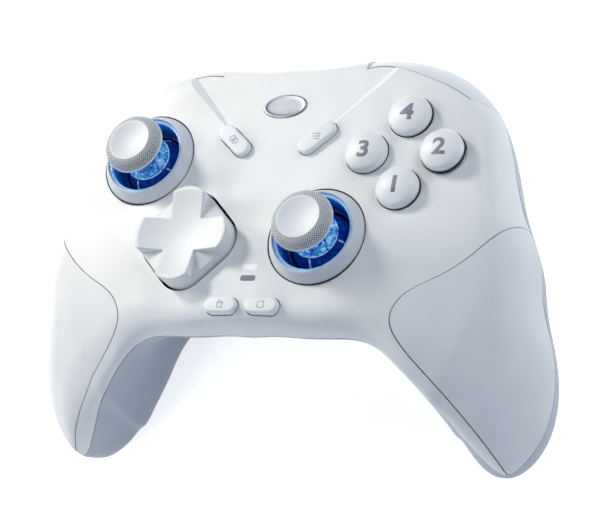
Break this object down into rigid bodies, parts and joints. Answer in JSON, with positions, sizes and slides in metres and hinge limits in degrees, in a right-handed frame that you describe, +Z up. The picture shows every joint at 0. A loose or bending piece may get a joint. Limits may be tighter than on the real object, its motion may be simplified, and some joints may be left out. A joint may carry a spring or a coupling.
{
  "type": "gamepad controller",
  "caption": "White wireless gamepad with two tilting thumb sticks in blue-lit bowls, a dished direction pad, face buttons, sprung bumpers and triggers, and grip covers.",
  "frame": {"origin": "centre of the pad's outline in plan, on the table that it lies on", "axes": "+X towards the pad's right hand, +Y towards the triggers, +Z up. The pad lies on its back, with its flat face tilted 8 degrees down towards the triggers"},
  "size_m": [0.15, 0.1122, 0.0564],
  "materials": {
    "shell_white": "fine moulded texture",
    "rear_grey": "fine moulded texture",
    "cover_white": "soft touch",
    "button_white": "satin",
    "collar_white": "satin",
    "bowl_blue": "glossy tinted",
    "skirt_blue": "glossy tinted",
    "cap_grey": "knurled rim, smooth dish",
    "metal": "plated",
    "spring_steel": "bright drawn wire",
    "module_black": "moulded",
    "membrane": "silicone",
    "board_green": "solder mask",
    "battery_wrap": "shrink wrap",
    "badge_metal": "polished",
    "lens_white": "milky",
    "lens_grey": "smoked"
  },
  "bodies": {
    "housing": {"front_shell": "shell_white", "rear_shell": "rear_grey", "left_grip_cover": "cover_white", "right_grip_cover": "cover_white", "left_trigger_pin": "metal", "right_trigger_pin": "metal", "left_trigger_spring": "spring_steel", "right_trigger_spring": "spring_steel", "left_rumble_motor": "metal", "right_rumble_motor": "metal", "left_stick_collar": "collar_white", "right_stick_collar": "collar_white", "left_stick_bowl": "bowl_blue", "right_stick_bowl": "bowl_blue", "left_stick_module": "module_black", "right_stick_module": "module_black", "dpad_bracket": "metal", "button_membrane": "membrane", "menu_membranes": "membrane", "home_membranes": "membrane", "button_board": "board_green", "main_board": "board_green", "usb_socket": "metal", "battery": "battery_wrap", "shell_screws": "metal", "badge_plate": "badge_metal", "power_lens": "lens_white", "mode_lens": "lens_grey"},
    "left_trigger": {"left_trigger": "rear_grey"},
    "left_bumper": {"left_bumper": "button_white"},
    "left_rumble_weight": {"left_rumble_weight": "metal"},
    "left_stick_yoke": {"left_stick_yoke": "module_black"},
    "left_stick_pin": {"left_stick_pin": "metal"},
    "left_stick": {"left_stick_cap": "cap_grey", "left_stick_skirt": "skirt_blue", "left_stick_shaft": "module_black"},
    "right_trigger": {"right_trigger": "rear_grey"},
    "right_bumper": {"right_bumper": "button_white"},
    "right_rumble_weight": {"right_rumble_weight": "metal"},
    "right_stick_yoke": {"right_stick_yoke": "module_black"},
    "right_stick_pin": {"right_stick_pin": "metal"},
    "right_stick": {"right_stick_cap": "cap_grey", "right_stick_skirt": "skirt_blue", "right_stick_shaft": "module_black"},
    "north_button": {"north_button": "button_white"},
    "east_button": {"east_button": "button_white"},
    "south_button": {"south_button": "button_white"},
    "west_button": {"west_button": "button_white"},
    "view_button": {"view_button": "button_white"},
    "menu_button": {"menu_button": "button_white"},
    "home_button": {"home_button": "button_white"},
    "function_button": {"function_button": "button_white"},
    "dpad_rocker": {"dpad_rocker": "module_black"},
    "dpad": {"dpad_cap": "button_white", "dpad_pin": "metal"}
  },
  "joints": [
    {"name": "left_trigger_pull", "type": "hinge", "parent": "housing", "child": "left_trigger", "pos_m": [-0.0392, 0.03739, 0.02061], "axis": [1, 0, 0], "range_deg": [-16, 0], "stiffness_Nm_per_rad": 0.12, "springref_deg": 8.59},
    {"name": "left_bumper_press", "type": "hinge", "parent": "housing", "child": "left_bumper", "pos_m": [-0.0195, 0.04153, 0.02997], "axis": [0, 0.1392, 0.9903], "range_deg": [0, 0.6], "stiffness_Nm_per_rad": 2, "springref_deg": -0.29},
    {"name": "left_rumble_spin", "type": "hinge", "parent": "housing", "child": "left_rumble_weight", "pos_m": [-0.055, -0.02114, 0.01732], "axis": [0, 0.9903, -0.1392], "continuous": true},
    {"name": "left_stick_tilt_forward", "type": "hinge", "parent": "housing", "child": "left_stick_yoke", "pos_m": [-0.0381, 0.02064, 0.03367], "axis": [1, 0, 0], "range_deg": [-15, 15], "stiffness_Nm_per_rad": 0.05},
    {"name": "left_stick_tilt_side", "type": "hinge", "parent": "left_stick_yoke", "child": "left_stick_pin", "pos_m": [-0.0381, 0.02064, 0.03367], "axis": [0, 0.9903, -0.1392], "range_deg": [-15, 15], "stiffness_Nm_per_rad": 0.05},
    {"name": "left_stick_press", "type": "slide", "parent": "left_stick_pin", "child": "left_stick", "axis": [0, -0.1392, -0.9903], "range_m": [0, 0.0005], "stiffness_N_per_m": 1500, "springref_m": -0.0005},
    {"name": "right_trigger_pull", "type": "hinge", "parent": "housing", "child": "right_trigger", "pos_m": [0.0392, 0.03739, 0.02061], "axis": [1, 0, 0], "range_deg": [-16, 0], "stiffness_Nm_per_rad": 0.12, "springref_deg": 8.59},
    {"name": "right_bumper_press", "type": "hinge", "parent": "housing", "child": "right_bumper", "pos_m": [0.0195, 0.04153, 0.02997], "axis": [0, 0.1392, 0.9903], "range_deg": [-0.6, 0], "stiffness_Nm_per_rad": 2, "springref_deg": 0.29},
    {"name": "right_rumble_spin", "type": "hinge", "parent": "housing", "child": "right_rumble_weight", "pos_m": [0.055, -0.02114, 0.01732], "axis": [0, 0.9903, -0.1392], "continuous": true},
    {"name": "right_stick_tilt_forward", "type": "hinge", "parent": "housing", "child": "right_stick_yoke", "pos_m": [0.0172, -0.00302, 0.03699], "axis": [1, 0, 0], "range_deg": [-15, 15], "stiffness_Nm_per_rad": 0.05},
    {"name": "right_stick_tilt_side", "type": "hinge", "parent": "right_stick_yoke", "child": "right_stick_pin", "pos_m": [0.0172, -0.00302, 0.03699], "axis": [0, 0.9903, -0.1392], "range_deg": [-15, 15], "stiffness_Nm_per_rad": 0.05},
    {"name": "right_stick_press", "type": "slide", "parent": "right_stick_pin", "child": "right_stick", "axis": [0, -0.1392, -0.9903], "range_m": [0, 0.0005], "stiffness_N_per_m": 1500, "springref_m": -0.0005},
    {"name": "north_press", "type": "slide", "parent": "housing", "child": "north_button", "axis": [0, -0.1392, -0.9903], "range_m": [0, 0.0013], "stiffness_N_per_m": 400, "springref_m": -0.0005},
    {"name": "east_press", "type": "slide", "parent": "housing", "child": "east_button", "axis": [0, -0.1392, -0.9903], "range_m": [0, 0.0013], "stiffness_N_per_m": 400, "springref_m": -0.0005},
    {"name": "south_press", "type": "slide", "parent": "housing", "child": "south_button", "axis": [0, -0.1392, -0.9903], "range_m": [0, 0.0013], "stiffness_N_per_m": 400, "springref_m": -0.0005},
    {"name": "west_press", "type": "slide", "parent": "housing", "child": "west_button", "axis": [0, -0.1392, -0.9903], "range_m": [0, 0.0013], "stiffness_N_per_m": 400, "springref_m": -0.0005},
    {"name": "view_press", "type": "slide", "parent": "housing", "child": "view_button", "axis": [0, -0.1392, -0.9903], "range_m": [0, 0.0007], "stiffness_N_per_m": 400, "springref_m": -0.0005},
    {"name": "menu_press", "type": "slide", "parent": "housing", "child": "menu_button", "axis": [0, -0.1392, -0.9903], "range_m": [0, 0.0007], "stiffness_N_per_m": 400, "springref_m": -0.0005},
    {"name": "home_press", "type": "slide", "parent": "housing", "child": "home_button", "axis": [0, -0.1392, -0.9903], "range_m": [0, 0.0007], "stiffness_N_per_m": 400, "springref_m": -0.0005},
    {"name": "function_press", "type": "slide", "parent": "housing", "child": "function_button", "axis": [0, -0.1392, -0.9903], "range_m": [0, 0.0007], "stiffness_N_per_m": 400, "springref_m": -0.0005},
    {"name": "dpad_tilt_forward", "type": "hinge", "parent": "housing", "child": "dpad_rocker", "pos_m": [-0.02, -0.00345, 0.03968], "axis": [1, 0, 0], "range_deg": [-5, 5], "stiffness_Nm_per_rad": 0.3},
    {"name": "dpad_tilt_side", "type": "hinge", "parent": "dpad_rocker", "child": "dpad", "pos_m": [-0.02, -0.00345, 0.03968], "axis": [0, 0.9903, -0.1392], "range_deg": [-5, 5], "stiffness_Nm_per_rad": 0.3}
  ]
}
